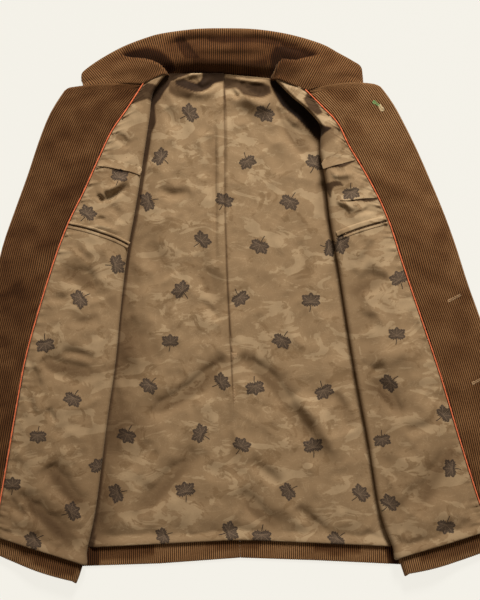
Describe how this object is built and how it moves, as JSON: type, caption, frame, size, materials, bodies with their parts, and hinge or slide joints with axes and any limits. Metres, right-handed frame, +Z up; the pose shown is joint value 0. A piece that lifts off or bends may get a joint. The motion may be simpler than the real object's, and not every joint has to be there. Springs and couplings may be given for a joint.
{
  "type": "corduroy jacket",
  "caption": "Lined corduroy jacket laid open on its back, with collar, facings, piping, pleated back lining, inner pockets and folded-in sleeves.",
  "frame": {"origin": "centre of the bottom of the bounding box: the surface the jacket lies on, under the middle of its spread", "axes": "+Z up, away from the surface; +Y towards the collar; +X towards the wearer's left front"},
  "size_m": [0.8826, 0.8556, 0.0272],
  "materials": {
    "corduroy": "brown cotton corduroy, 8 wales to the inch, soft pile",
    "lining": "khaki cotton lining, tone-on-tone camouflage with scattered leaves",
    "piping": "orange corded piping",
    "button": "dark brown, satin"
  },
  "bodies": {
    "root": {"back_right": "corduroy", "back_left": "corduroy", "front_right": "corduroy", "front_left": "corduroy", "facing_right": "corduroy", "facing_left": "corduroy", "top_collar": "corduroy", "under_collar": "corduroy", "sleeve_right": "corduroy", "sleeve_left": "corduroy", "back_lining": "lining", "front_lining_right": "lining", "front_lining_left": "lining", "welt_right_upper": "lining", "welt_right_lower": "lining", "welt_left_upper": "lining", "welt_left_lower": "lining", "piping_right": "piping", "piping_left": "piping", "button_upper": "button", "button_lower": "button"}
  },
  "joints": []
}
